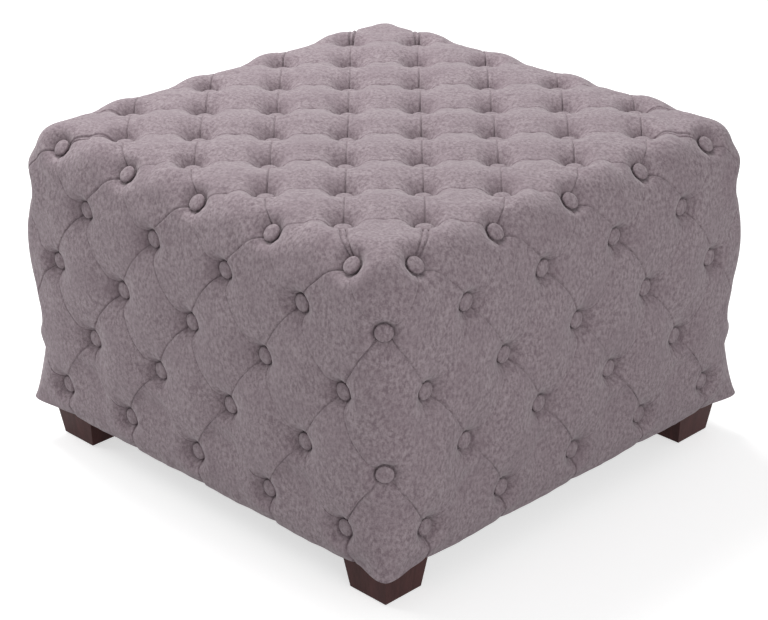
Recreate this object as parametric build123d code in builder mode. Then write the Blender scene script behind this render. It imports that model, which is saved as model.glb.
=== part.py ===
"""Deep-buttoned square ottoman coffee table on four tapered block feet.

Z is up and the origin is on the floor under the middle of the ottoman. Front is -Y and
right is +X. All four sides are alike, so a side's piece is made as the front one and
turned about Z.
"""

import os
from itertools import product

from build123d import *

os.makedirs("parts", exist_ok=True)

# Tufting of the cover, in mm: the buttons stand in a diamond lattice. Row 0 lies on the
# rolled top edge. Even rows have a button in each pitch, and odd rows have theirs between.
tufts_per_side = 5
tuft_pitch = 134.0
row_pairs = 2
row_spacing = 91.0
hem_to_lowest_row = 44.0
roll_rise = 61.0
edge_seat_drop = 9.0

# How far each row of buttons is pulled in from the square that the tufting fills
side_seat_inset = 4.0
corner_seat_inset = 11.0
edge_seat_inset = 18.5

# Pillows between the buttons: their height over the seats, and the crests of folded ones
pillow_crest = 18.0
hem_pillow_crest = 10.0
corner_crest_inset = 1.0
edge_crest_inset = 7.0
edge_crest_rise = 4.0
vertex_crest_inset = 19.0
vertex_crest_drop = 10.0
corner_roll = 12.0
facets_per_pillow = 4

# Hem of the cover, which is turned in under the frame
hem_outset = 4.0
hem_corner_outset = 5.0
hem_pleat_depth = 5.0
hem_pleat_swell = 4.0
hem_flange_width = 62.0
hem_fabric = 1.5

# Padding under the cover
wadding_over_foam = 5.0
side_foam_thickness = 12.0
top_foam_thickness = 60.0
foam_edge_chamfer = 40.0
foam_corner_chamfer = 24.0

# Covered buttons
button_diameter = 22.0
button_sides = 8
button_rim_over_seat = 6.5
button_dome = 2.5
button_crown_diameter = 15.0
button_tip_diameter = 3.0
button_seat_gap = 0.8

# Frame of plywood panels and pine
panel_thickness = 12.0
deck_thickness = 12.0
post_size = 40.0
rail_width = 40.0
rail_height = 22.0
batten_width = 60.0
batten_height = 20.0
batten_offset = 110.0
foot_block_size = 95.0
foot_block_clearance = 0.5

# Dust cloth under the frame
dust_cloth_thickness = 0.5
dust_cloth_inset = 14.0

# Feet and what fixes them
foot_height = 53.0
foot_sole = 61.0
foot_top = 76.0
foot_sole_inset = 24.5
foot_edge_bevel = 1.5
glide_height = 2.0
glide_diameter = 30.0
bolt_diameter = 8.0
bolt_tip = 1.5
bolt_in_foot = 25.0
bolt_hole_clearance = 0.25
bolt_thread_clearance = 0.1
insert_diameter = 13.0
insert_length = 18.0

# One overrun for all cuts that run out of a piece, and a length too small to count
overrun = 1.0
next_to_nothing = 1e-6

# Levels, from the floor up
foot_top_level = glide_height + foot_height
hem_level = foot_top_level + dust_cloth_thickness
frame_level = hem_level + hem_fabric
rail_top = frame_level + rail_height
lower_rows = 2 * row_pairs
row_one_level = hem_level + hem_to_lowest_row + (lower_rows - 1) * row_spacing
top_seat_level = row_one_level + roll_rise + edge_seat_drop
cavity_top = top_seat_level - wadding_over_foam
deck_top = cavity_top - top_foam_thickness
deck_bottom = deck_top - deck_thickness

# Half widths, from the middle out
lattice_half = tufts_per_side * tuft_pitch / 2
side_seat_half = lattice_half - side_seat_inset
cavity_half = side_seat_half - wadding_over_foam
panel_outer = cavity_half - side_foam_thickness
panel_inner = panel_outer - panel_thickness
hem_half = lattice_half + hem_outset
hem_corner_half = lattice_half + hem_corner_outset
foot_centre = hem_half - foot_sole_inset - foot_sole / 2
block_centre = panel_inner - foot_block_size / 2

SIDES = {"front": 0, "right": 90, "back": 180, "left": 270}
CORNERS = {
    "front_left": (-1, -1),
    "front_right": (1, -1),
    "back_right": (1, 1),
    "back_left": (-1, 1),
}


def finish(piece, name):
    """Label a finished piece and write it out."""
    piece.part.label = name
    export_step(piece.part, f"parts/{name}.step")


# Seats of the buttons
# A seat is the low point where the cover is pulled in, and the way that its button faces.


def row_level(row):
    """Height of a row of a side's seats."""
    if row == 0:
        return top_seat_level - edge_seat_drop
    return row_one_level - (row - 1) * row_spacing


def side_seat(along, row):
    """Seat on the front, counted in pitches from its left corner and in rows from the top."""
    x = along * tuft_pitch - lattice_half
    if row == 0:
        way = Vector(0, -1, 1)
        place = Vector(x, edge_seat_inset - lattice_half, row_level(row))
    elif along in (0, tufts_per_side):
        way = Vector(1 if along else -1, -1, 0)
        place = way * (lattice_half - corner_seat_inset) + Vector(0, 0, row_level(row))
    else:
        way = Vector(0, -1, 0)
        place = Vector(x, -side_seat_half, row_level(row))
    return place, way.normalized()


def turned(seat, angle):
    """The same seat on another side."""
    place, way = seat
    return place.rotate(Axis.Z, angle), way.rotate(Axis.Z, angle)


def top_seat(across, deep):
    """Seat on the top, in pitches from the front left corner; those at its edge are row 0."""
    if deep == 0:
        return side_seat(across, 0)
    if across == tufts_per_side:
        return turned(side_seat(deep, 0), 90)
    if deep == tufts_per_side:
        return turned(side_seat(tufts_per_side - across, 0), 180)
    if across == 0:
        return turned(side_seat(tufts_per_side - deep, 0), 270)
    x = across * tuft_pitch - lattice_half
    y = deep * tuft_pitch - lattice_half
    return Vector(x, y, top_seat_level), Vector(0, 0, 1)


def row_places(row):
    """Places along a side, in pitches, of a row's seats."""
    if row % 2:
        return range(tufts_per_side + 1)
    return [k + 0.5 for k in range(tufts_per_side)]


# Surface of the cover
# A pillow is quadratic both ways between its four seats: the pleats at its edges rise and
# fall in the same curve, so the pillows meet along them. It is cut into small flat facets.


def pleat(seat_a, seat_b):
    """Middle control point of the pleat from one button to the next."""
    way = (seat_a[1] + seat_b[1]).normalized()
    return (seat_a[0] + seat_b[0]) / 2 + way * pillow_crest


def pillow(up, right, down, left, crest=None):
    """Control net of the diamond pillow between four seats."""
    upper_right, lower_right = pleat(up, right), pleat(right, down)
    lower_left, upper_left = pleat(down, left), pleat(left, up)
    seats = (up[0] + right[0] + down[0] + left[0]) / 4
    if crest is None:
        crest = seats + (up[1] + right[1] + down[1] + left[1]).normalized() * pillow_crest
    pleats = (upper_right + lower_right + lower_left + upper_left) / 2
    return [
        [up[0], upper_right, right[0]],
        [upper_left, crest * 4 - seats - pleats, lower_right],
        [left[0], lower_left, down[0]],
    ]


def vertex_pillow(left, right, down):
    """Control net of the three-sided pillow on a top corner, closed to a point at its foot."""
    inset = lattice_half - vertex_crest_inset
    crest = Vector(inset, -inset, top_seat_level - vertex_crest_drop)
    head, left_side, right_side = pleat(left, right), pleat(left, down), pleat(right, down)
    rest = (left[0] + right[0]) / 16 + down[0] / 4 + head / 8 + (left_side + right_side) / 8
    return [
        [left[0], head, right[0]],
        [left_side, (crest - rest) * 4, right_side],
        [down[0], down[0], down[0]],
    ]


def hem_pillow(up, side, hem_crest, crest, spread):
    """Control net of half of a pillow that runs down to the hem, from its side pleat inward."""
    hem_pleat = Vector(side[0].X, hem_pleat_depth - hem_half, hem_level)
    hem_middle = Vector((side[0].X + hem_crest.X) / 2, -hem_half, hem_level)
    middle = crest * 2 - (up[0] + hem_crest) / 2
    return [
        [side[0], (side[0] + hem_pleat) / 2 + side[1] * hem_pleat_swell, hem_pleat],
        [pleat(up, side), middle + spread, hem_middle],
        [up[0], middle, hem_crest],
    ]


def grid(net):
    """Points of a pillow's surface, in even steps both ways."""
    steps = [i / facets_per_pillow for i in range(facets_per_pillow + 1)]
    weights = [((1 - t) ** 2, 2 * t * (1 - t), t**2) for t in steps]
    return [
        [
            sum((net[i][j] * (u[i] * v[j]) for i, j in product(range(3), repeat=2)), Vector())
            for v in weights
        ]
        for u in weights
    ]


def facets(net):
    """Flat faces between a pillow's points: a cell with four corners out of plane gets two."""
    points = grid(net)
    faces = []
    for i, j in product(range(facets_per_pillow), repeat=2):
        a, b, c, d = points[i][j], points[i + 1][j], points[i + 1][j + 1], points[i][j + 1]
        cell = [(a, b, c), (a, c, d)]
        way = (b - a).cross(c - a)
        if way.length > next_to_nothing and abs(way.normalized().dot(d - a)) < next_to_nothing:
            cell = [(a, b, c, d)]
        cell = [corners for corners in cell if has_area(corners)]
        faces += [Face(Wire.make_polygon(corners)) for corners in cell]
    return faces


def has_area(corners):
    """Whether a facet is more than a line, which it isn't at a closed end of a pillow."""
    return (corners[1] - corners[0]).cross(corners[2] - corners[0]).length > next_to_nothing


def side_pillows():
    """Pillows of the front between its hem and its rolled edge."""
    nets = []
    for row in range(1, lower_rows):
        for along in row_places(row + 1):
            if 0 < along < tufts_per_side:
                up, down = side_seat(along, row - 1), side_seat(along, row + 1)
                left, right = side_seat(along - 0.5, row), side_seat(along + 0.5, row)
                nets.append(pillow(up, right, down, left))
    return nets


def edge_pillows():
    """Pillows folded over the front's rolled top edge."""
    nets = []
    for along in range(1, tufts_per_side):
        up, down = top_seat(along, 0.5), side_seat(along, 1)
        left, right = side_seat(along - 0.5, 0), side_seat(along + 0.5, 0)
        x = along * tuft_pitch - lattice_half
        crest = Vector(x, edge_crest_inset - lattice_half, top_seat_level + edge_crest_rise)
        nets.append(pillow(up, right, down, left, crest))
    return nets


def corner_pillows():
    """Pillows folded over the front right corner, and the three-sided one on top of it."""
    last = tufts_per_side - 0.5
    head = side_seat(last, 0), turned(side_seat(0.5, 0), 90)
    nets = [vertex_pillow(*head, side_seat(tufts_per_side, 1))]
    half = lattice_half - corner_crest_inset
    for row in range(2, lower_rows, 2):
        up, down = side_seat(tufts_per_side, row - 1), side_seat(tufts_per_side, row + 1)
        left, right = side_seat(last, row), turned(side_seat(0.5, row), 90)
        nets.append(pillow(up, right, down, left, Vector(half, -half, row_level(row))))
    return nets


def hem_pillows():
    """Half pillows of the front that run down to the hem, with a pleat under each button."""
    nets = []
    level = row_level(lower_rows)
    for along, step in product(range(tufts_per_side + 1), (-1, 1)):
        if not 0 < along + step / 2 < tufts_per_side:
            continue
        if along in (0, tufts_per_side):
            half = lattice_half - corner_crest_inset
            crest = Vector(-step * half, -half, level)
            hem_crest = Vector(-step * hem_corner_half, -hem_corner_half, hem_level)
            spread = Vector(step, -1) * corner_roll
        else:
            x = along * tuft_pitch - lattice_half
            crest = Vector(x, -side_seat_half - hem_pillow_crest, level)
            hem_crest = Vector(x, -hem_half, hem_level)
            spread = Vector(step * tuft_pitch / 4)
        up, side = side_seat(along, lower_rows - 1), side_seat(along + step / 2, lower_rows)
        nets.append(hem_pillow(up, side, hem_crest, crest, spread))
    return nets


def top_pillows():
    """Pillows of the top, inside the rolled edges."""
    nets = []
    for i, j in product(range(1, 2 * tufts_per_side), repeat=2):
        if (i + j) % 2 == 0:
            x, y = i / 2, j / 2
            back, front = top_seat(x, y + 0.5), top_seat(x, y - 0.5)
            left, right = top_seat(x - 0.5, y), top_seat(x + 0.5, y)
            nets.append(pillow(back, right, front, left))
    return nets


def around(points, angle):
    """A list or a net of points, turned about Z."""
    if isinstance(points, Vector):
        return points.rotate(Axis.Z, angle)
    return [around(entry, angle) for entry in points]


# Cover
# One closed skin of pillows and the flat rim at the hem, filled with the wadding that is
# bonded to the fabric, and hollowed out for the foam.

hem_nets = hem_pillows()
front_nets = side_pillows() + edge_pillows() + corner_pillows() + hem_nets
skin = [face for net in top_pillows() for face in facets(net)]
hem_line = []
hem_points = {round(row[-1].X, 3): row[-1] for net in hem_nets for row in grid(net)}
front_hem = [hem_points[x] for x in sorted(hem_points)][:-1]
for angle in SIDES.values():
    skin += [face for net in front_nets for face in facets(around(net, angle))]
    hem_line += around(front_hem, angle)
rim = Face(Wire.make_polygon(hem_line))

with BuildPart() as cavity:
    with BuildSketch(Plane.XY.offset(frame_level)) as cavity_floor:
        Rectangle(2 * cavity_half, 2 * cavity_half)
        chamfer(cavity_floor.vertices(), foam_corner_chamfer)
    extrude(amount=cavity_top - frame_level)
    chamfer(cavity.faces().sort_by(Axis.Z)[-1].edges(), foam_edge_chamfer)

with BuildPart() as tufted_cover:
    add(Solid(Shell(skin + [rim])))
    add(cavity.part, mode=Mode.SUBTRACT)
    with BuildSketch(Plane.XY.offset(hem_level - overrun)) as hem_opening:
        Rectangle(2 * (hem_half - hem_flange_width), 2 * (hem_half - hem_flange_width))
        with Locations(*[(x * block_centre, y * block_centre) for x, y in CORNERS.values()]):
            block_gap = foot_block_size + 2 * foot_block_clearance
            Rectangle(block_gap, block_gap)
    extrude(amount=hem_fabric + 2 * overrun, mode=Mode.SUBTRACT)
finish(tufted_cover, "tufted_cover")


# Foam
# The side slabs follow each other round the frame, each with one end over the next one's,
# and the top slab lies over them. The mitres are those of the cavity.

with BuildPart() as top_foam:
    with BuildSketch(Plane.XY.offset(deck_top)):
        Rectangle(2 * cavity_half, 2 * cavity_half)
    extrude(amount=top_foam_thickness)
    add(cavity.part, mode=Mode.INTERSECT)
finish(top_foam, "top_foam")

for name, angle in SIDES.items():
    with BuildPart() as side_foam:
        with BuildSketch(Plane.XY.offset(frame_level)):
            with Locations((side_foam_thickness / 2, side_foam_thickness / 2 - cavity_half)):
                Rectangle(cavity_half + panel_outer, side_foam_thickness)
        extrude(amount=deck_top - frame_level)
        add(cavity.part, mode=Mode.INTERSECT)
    side_foam.part = side_foam.part.rotate(Axis.Z, angle)
    finish(side_foam, f"{name}_foam")


# Covered buttons
# A domed shell in the cover's fabric over a back that narrows into the pit. Each row or
# field of them is one group.

button_crown_level = button_rim_over_seat + button_dome
with BuildPart() as button:
    with BuildSketch(Plane.XY.offset(button_seat_gap)):
        RegularPolygon(button_tip_diameter / 2, button_sides)
    with BuildSketch(Plane.XY.offset(button_rim_over_seat)) as button_rim:
        RegularPolygon(button_diameter / 2, button_sides)
    loft()
    with BuildSketch(Plane.XY.offset(button_crown_level)):
        RegularPolygon(button_crown_diameter / 2, button_sides)
    add(button_rim.sketch)
    loft()


def button_group(name, seats):
    """One button on each seat, facing the seat's way."""
    with BuildPart() as group:
        with Locations(*[Plane(origin=place, z_dir=way) for place, way in seats]):
            add(button.part)
    finish(group, name)


top_places = product(range(1, 2 * tufts_per_side), repeat=2)
top_field = [top_seat(i / 2, j / 2) for i, j in top_places if (i + j) % 2]
button_group("top_buttons", top_field)

edge_row = [side_seat(along, 0) for along in row_places(0)]
button_group("edge_buttons", [turned(seat, angle) for angle in SIDES.values() for seat in edge_row])

corner_rows = [side_seat(tufts_per_side, row) for row in range(1, lower_rows, 2)]
corner_field = [turned(seat, angle) for angle in SIDES.values() for seat in corner_rows]
button_group("corner_buttons", corner_field)

side_rows = product(range(1, lower_rows + 1), [k / 2 for k in range(1, 2 * tufts_per_side)])
side_field = [side_seat(along, row) for row, along in side_rows if along in row_places(row)]
for name, angle in SIDES.items():
    button_group(f"{name}_buttons", [turned(seat, angle) for seat in side_field])


# Frame
# Plywood panels follow each other round four posts, glued and screwed to them, with a deck on top,
# battens under the deck and rails along the panels' lower edges, where the cover is stapled.

with BuildPart() as deck:
    with BuildSketch(Plane.XY.offset(deck_bottom)):
        Rectangle(2 * panel_outer, 2 * panel_outer)
    extrude(amount=deck_thickness)
finish(deck, "deck")

for name, angle in SIDES.items():
    with BuildPart() as panel:
        with BuildSketch(Plane.XY.offset(frame_level)):
            with Locations((panel_thickness / 2, panel_thickness / 2 - panel_outer)):
                Rectangle(panel_outer + panel_inner, panel_thickness)
        extrude(amount=deck_bottom - frame_level)
    panel.part = panel.part.rotate(Axis.Z, angle)
    finish(panel, f"{name}_panel")

for name, angle in SIDES.items():
    with BuildPart() as rail:
        with BuildSketch(Plane.XY.offset(frame_level)):
            with Locations((0, rail_width / 2 - panel_inner)):
                Rectangle(2 * (panel_inner - foot_block_size), rail_width)
        extrude(amount=rail_height)
    rail.part = rail.part.rotate(Axis.Z, angle)
    finish(rail, f"{name}_rail")

for name, (x, y) in CORNERS.items():
    post_centre = panel_inner - post_size / 2
    with BuildPart() as post:
        with BuildSketch(Plane.XY.offset(rail_top)):
            with Locations((x * post_centre, y * post_centre)):
                Rectangle(post_size, post_size)
        extrude(amount=deck_bottom - rail_top)
    finish(post, f"{name}_post")

for name, y in (("front", -batten_offset), ("back", batten_offset)):
    with BuildPart() as batten:
        with BuildSketch(Plane.XY.offset(deck_bottom - batten_height)):
            with Locations((0, y)):
                Rectangle(2 * panel_inner, batten_width)
        extrude(amount=batten_height)
    finish(batten, f"{name}_batten")


# Feet
# Each foot is a tapered hardwood block, screwed up through the dust cloth into a threaded
# insert in a corner block of the frame, and stands on a nylon glide.

with BuildPart() as dust_cloth:
    with BuildSketch(Plane.XY.offset(foot_top_level)):
        dust_cloth_size = 2 * (hem_half - dust_cloth_inset)
        Rectangle(dust_cloth_size, dust_cloth_size)
        with Locations(*[(x * foot_centre, y * foot_centre) for x, y in CORNERS.values()]):
            Circle(bolt_diameter / 2 + bolt_hole_clearance, mode=Mode.SUBTRACT)
    extrude(amount=dust_cloth_thickness)
finish(dust_cloth, "dust_cloth")

for name, (x, y) in CORNERS.items():
    foot_place = (x * foot_centre, y * foot_centre)

    with BuildPart() as foot_block:
        with BuildSketch(Plane.XY.offset(hem_level)):
            with Locations((x * block_centre, y * block_centre)):
                Rectangle(foot_block_size, foot_block_size)
        extrude(amount=rail_top - hem_level)
        with BuildSketch(Plane.XY.offset(hem_level)):
            with Locations(foot_place):
                Circle(insert_diameter / 2)
        extrude(amount=insert_length, mode=Mode.SUBTRACT)
    finish(foot_block, f"{name}_foot_block")

    with BuildPart() as threaded_insert:
        with BuildSketch(Plane.XY.offset(hem_level)):
            with Locations(foot_place):
                Circle(insert_diameter / 2)
                Circle(bolt_diameter / 2 + bolt_thread_clearance, mode=Mode.SUBTRACT)
        extrude(amount=insert_length)
    finish(threaded_insert, f"{name}_threaded_insert")

    with BuildPart() as foot:
        with BuildSketch(Plane.XY.offset(foot_top_level)):
            with Locations(foot_place):
                Rectangle(foot_top, foot_top)
        with BuildSketch(Plane.XY.offset(glide_height)):
            with Locations(foot_place):
                Rectangle(foot_sole, foot_sole)
        loft()
        chamfer(foot.edges().filter_by(GeomType.LINE).group_by(Axis.Z)[1], foot_edge_bevel)
        with BuildSketch(Plane.XY.offset(foot_top_level)):
            with Locations(foot_place):
                Circle(bolt_diameter / 2 + bolt_thread_clearance)
        extrude(amount=-bolt_in_foot, mode=Mode.SUBTRACT)
    finish(foot, f"{name}_foot")

    with BuildPart() as hanger_bolt:
        with BuildSketch(Plane.XY.offset(foot_top_level - bolt_in_foot)):
            with Locations(foot_place):
                Circle(bolt_diameter / 2)
        extrude(amount=bolt_in_foot + dust_cloth_thickness + insert_length)
        chamfer(hanger_bolt.edges().filter_by(GeomType.CIRCLE), bolt_tip)
    finish(hanger_bolt, f"{name}_hanger_bolt")

    with BuildPart() as glide:
        with BuildSketch():
            with Locations(foot_place):
                Circle(glide_diameter / 2)
        extrude(amount=glide_height)
    finish(glide, f"{name}_glide")
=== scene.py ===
import math
import random
from itertools import product

import bmesh
import bpy
import numpy as np
from mathutils import Matrix, Vector, noise


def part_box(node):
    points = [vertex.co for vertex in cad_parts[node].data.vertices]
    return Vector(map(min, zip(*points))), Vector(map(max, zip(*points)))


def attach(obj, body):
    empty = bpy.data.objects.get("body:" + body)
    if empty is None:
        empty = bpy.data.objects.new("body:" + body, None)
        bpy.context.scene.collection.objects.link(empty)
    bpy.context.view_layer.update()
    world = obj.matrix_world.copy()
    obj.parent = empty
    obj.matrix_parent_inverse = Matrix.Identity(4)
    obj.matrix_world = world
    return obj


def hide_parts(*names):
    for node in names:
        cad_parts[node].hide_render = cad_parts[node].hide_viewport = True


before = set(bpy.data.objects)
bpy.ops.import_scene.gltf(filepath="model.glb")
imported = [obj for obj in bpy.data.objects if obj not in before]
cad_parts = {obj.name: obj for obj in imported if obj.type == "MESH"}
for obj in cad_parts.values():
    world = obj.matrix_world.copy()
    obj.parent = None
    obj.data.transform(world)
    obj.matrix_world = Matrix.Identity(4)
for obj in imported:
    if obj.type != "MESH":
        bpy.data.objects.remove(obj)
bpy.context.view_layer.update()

# Plywood deck and side panels
# Sheets of birch plywood, sawn square and left raw, glued and screwed round the corner
# posts. They carry the foam, and the cover hides them.

plywood_face = "#CBA679"
plywood_grain = "#A87F52"
plywood_figure = 0.018
plywood_pore = 0.0015
plywood_roughness = 0.75
# Sawn wood in general: its figure and pores are drawn out along the grain, the pores are sunk
grain_draw = 0.08
figure_waver = 0.6
figure_range = (0.35, 0.65)
pore_share = 0.4
pore_relief = 0.25
pore_depth = 0.0004
along_x, along_y, along_z = range(3)


def linear(colour):
    """Linear red, green, blue and alpha of an sRGB hex colour."""
    parts = [int(colour[i : i + 2], 16) / 255 for i in (1, 3, 5)]
    return [c / 12.92 if c <= 0.04045 else ((c + 0.055) / 1.055) ** 2.4 for c in parts] + [1.0]


def new_material(name):
    """A material with its node tree and its Principled shader."""
    made = bpy.data.materials.new(name)
    made.use_nodes = True
    return made, made.node_tree, made.node_tree.nodes["Principled BSDF"]


def add_node(tree, kind, inputs, **settings):
    """Add a node with its settings; an input takes a value or another node's output."""
    added = tree.nodes.new(kind)
    for name, value in settings.items():
        setattr(added, name, value)
    for name, value in inputs.items():
        socket = added.inputs[name]
        if isinstance(value, bpy.types.NodeSocket):
            tree.links.new(value, socket)
        else:
            socket.default_value = value
    return added


# A Mix node's sockets for two colours and for the colour that they make
first_colour, second_colour, mixed_colour = 6, 7, 2


def wood(name, along, face, grain, figure, pore, roughness):
    """Sawn wood with growth figure and pores drawn out along one axis."""
    made, tree, shader = new_material(name)
    place = add_node(tree, "ShaderNodeTexCoord", {}).outputs["Object"]
    stretch = [1.0, 1.0, 1.0]
    stretch[along] = grain_draw
    drawn = add_node(tree, "ShaderNodeMapping", {"Vector": place, "Scale": stretch})
    rings = add_node(
        tree,
        "ShaderNodeTexNoise",
        {
            "Vector": drawn.outputs["Vector"],
            "Scale": 1 / figure,
            "Detail": 3.0,
            "Distortion": figure_waver,
        },
    )
    pores = add_node(
        tree,
        "ShaderNodeTexNoise",
        {"Vector": drawn.outputs["Vector"], "Scale": 1 / pore, "Detail": 2.0},
    )
    both = add_node(
        tree,
        "ShaderNodeMix",
        {"Factor": pore_share, "A": rings.outputs["Fac"], "B": pores.outputs["Fac"]},
    )
    faint, strong = figure_range
    spread = add_node(
        tree,
        "ShaderNodeMapRange",
        {"Value": both.outputs["Result"], "From Min": faint, "From Max": strong},
    )
    tone = add_node(
        tree,
        "ShaderNodeMix",
        {
            "Factor": spread.outputs["Result"],
            first_colour: linear(grain),
            second_colour: linear(face),
        },
        data_type="RGBA",
    )
    bump = add_node(
        tree,
        "ShaderNodeBump",
        {"Height": pores.outputs["Fac"], "Strength": pore_relief, "Distance": pore_depth},
    )
    tree.links.new(tone.outputs[mixed_colour], shader.inputs["Base Color"])
    tree.links.new(bump.outputs["Normal"], shader.inputs["Normal"])
    shader.inputs["Roughness"].default_value = roughness
    return made


def dress(names, material):
    """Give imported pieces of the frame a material."""
    for name in names:
        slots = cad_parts[name].data.materials
        slots.clear()
        slots.append(material)


sides = ("front", "right", "back", "left")
corners = {"front_left": (-1, -1), "front_right": (1, -1), "back_right": (1, 1), "back_left": (-1, 1)}
# Pale and matt, a little streaked along the sheet
birch = plywood_face, plywood_grain, plywood_figure, plywood_pore, plywood_roughness
plywood = wood("raw_birch_plywood", along_x, *birch)
dress(["deck"] + [f"{side}_panel" for side in sides], plywood)

# Pine posts, rails, battens and foot blocks
# Planed pine, screwed into the corners of the plywood and along its lower edge. The rails
# take the staples of the cover, and the blocks take the feet.

pine_face = "#DDBB8A"
pine_grain = "#B98A52"
pine_figure = 0.011
pine_pore = 0.0012
pine_roughness = 0.65

# Yellower and smoother from the plane, with close growth rings
pine = pine_face, pine_grain, pine_figure, pine_pore, pine_roughness
pine_along = wood("planed_pine_along", along_x, *pine)
pine_across = wood("planed_pine_across", along_y, *pine)
pine_upright = wood("planed_pine_upright", along_z, *pine)
dress(["front_rail", "back_rail", "front_batten", "back_batten"], pine_along)
dress(["left_rail", "right_rail"] + [f"{corner}_foot_block" for corner in corners], pine_across)
dress([f"{corner}_post" for corner in corners], pine_upright)

# Foam slabs
# Cut open-cell polyurethane foam, four thin slabs on the panels and a thick one on the
# deck. The cover presses their outer edges round.

foam_colour = "#EBDFB8"
foam_cell_colour = "#D8C795"
foam_cell = 0.0016
foam_roughness = 0.95
foam_edge_round = 0.003
foam_edge_steps = 3
same_place = 1e-6
same_plane = math.radians(1)
# Relief of a fine grain, and its depth as a share of the grain's size
grain_relief = 0.5
grain_depth = 0.25


def grained(name, pattern, low, high, grain, roughness):
    """An even finish whose small cells, crystals or fibres show as a fine grain."""
    made, tree, shader = new_material(name)
    place = add_node(tree, "ShaderNodeTexCoord", {}).outputs["Object"]
    cells = add_node(tree, pattern, {"Vector": place, "Scale": 1 / grain}).outputs[0]
    tone = add_node(
        tree,
        "ShaderNodeMix",
        {"Factor": cells, first_colour: linear(low), second_colour: linear(high)},
        data_type="RGBA",
    )
    bump = add_node(
        tree,
        "ShaderNodeBump",
        {"Height": cells, "Strength": grain_relief, "Distance": grain * grain_depth},
    )
    tree.links.new(tone.outputs[mixed_colour], shader.inputs["Base Color"])
    tree.links.new(bump.outputs["Normal"], shader.inputs["Normal"])
    shader.inputs["Roughness"].default_value = roughness
    return made, shader


def new_piece(name, bm, material, slot, *nodes):
    """Make a piece of the object from a bmesh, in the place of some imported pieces."""
    mesh = bpy.data.meshes.new(name)
    bm.to_mesh(mesh)
    bm.free()
    mesh.materials.append(material)
    piece = bpy.data.objects.new(name, mesh)
    bpy.context.scene.collection.objects.link(piece)
    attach(piece, "root")
    if nodes:
        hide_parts(*nodes)
    return piece


def round_edges(bm, edges, radius, steps):
    """Round some edges, and give the vertices of the rounded shape."""
    return bmesh.ops.bevel(
        bm,
        geom=edges,
        offset=radius,
        offset_type="OFFSET",
        affect="EDGES",
        segments=steps,
        profile=0.5,
        material=-1,
    )["verts"]


# Matt, and its open cells read as fine pores
foam, shader = grained(
    "cut_polyurethane_foam",
    "ShaderNodeTexVoronoi",
    foam_cell_colour,
    foam_colour,
    foam_cell,
    foam_roughness,
)
for name in ["top"] + list(sides):
    bm = bmesh.new()
    bm.from_mesh(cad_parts[f"{name}_foam"].data)
    bmesh.ops.remove_doubles(bm, verts=bm.verts, dist=same_place)
    bmesh.ops.dissolve_limit(bm, angle_limit=same_plane, verts=bm.verts, edges=bm.edges)
    round_edges(bm, bm.edges[:], foam_edge_round, foam_edge_steps)
    slab = new_piece(f"{name}_foam_slab", bm, foam, "foam", f"{name}_foam")

# Tufted cover
# One piece of heathered polyester weave over bonded wadding. 140 buttons pull it into the
# foam, so that its spare cloth folds into pleats from one to the next, and it is turned in
# under the frame and stapled to the rails.

tufts = 5
rows = 4
button_width = 0.022
button_height = 0.009
front_low, front_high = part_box("front_buttons")
pitch = (front_high.x - front_low.x - button_width) / (tufts - 1)
row_spacing = (front_high.z - front_low.z - button_width) / (rows - 1)
row_one_level = front_high.z - button_width / 2
top_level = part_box("top_buttons")[1].z - button_height
hem_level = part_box("tufted_cover")[0].z
half = tufts * pitch / 2
side_half = -front_low.y - button_height

# The buttons of the vertical corners and of the rolled edge, inside the square of the lattice
corner_inset = 0.011
edge_inset = 0.0185
edge_drop = 0.009
# How far crests and the control points of pleats stand off the line between their seats
pillow_crest = 0.018
pleat_rise = 0.033
top_crest = 0.021
top_pleat_rises = (0.036, 0.025)
# How far the pleat over a corner of the top, between two buttons of its edge, reaches out and up
head_reach = 0.012
head_rise = 0.042
# Crests of the pillows that are folded over a corner or over the rolled edge
corner_crest_inset = 0.001
edge_crest_inset = 0.009
edge_crest_rise = 0.006
vertex_crest_inset = 0.015
vertex_crest_drop = 0.012
# The hem, and the pleats that run down to it, laid over to the right on the front and back
hem_crest = 0.010
corner_roll = 0.012
hem_half = half + 0.004
hem_corner_half = half + 0.007
hem_corner_roll = 0.009
hem_pleat_depth = 0.008
hem_pleat_swell = -0.006
hem_pleat_lay = 0.015
hem_pleat_lean = 0.25
hem_roll = 0.36 * pitch
hem_lap = 0.12 * pitch
hem_fold = 0.0040
# A seat whose way points up more than the first of these lies on the top, and one past the
# second on the rolled edge
top_facing = 0.9
edge_facing = 0.5


def level(row):
    """Height of a row of buttons on a side; row 0 lies on the rolled top edge."""
    return top_level - edge_drop if row == 0 else row_one_level - (row - 1) * row_spacing


def fall(row):
    """Length of cloth from the rolled top edge down to a row."""
    return top_level - level(row) if row else 0.0


def side_seat(along, row):
    """Where a button of the front pulls the cover in, and the way that it faces."""
    x = along * pitch - half
    if row == 0:
        return Vector((x, edge_inset - half, level(0))), Vector((0, -1, 1)).normalized()
    if along in (0, tufts):
        way = Vector((1 if along else -1, -1, 0))
        return way * (half - corner_inset) + Vector((0, 0, level(row))), way.normalized()
    return Vector((x, -side_half, level(row))), Vector((0, -1, 0))


def quarter_turn(quarters, size=3):
    """A turn from the front to another side."""
    return Matrix.Rotation(math.radians(90 * quarters), size, "Z")


def turned(seat, quarters):
    """The same seat on another side, that many quarter turns on."""
    turn = quarter_turn(quarters)
    return turn @ seat[0], turn @ seat[1]


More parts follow.
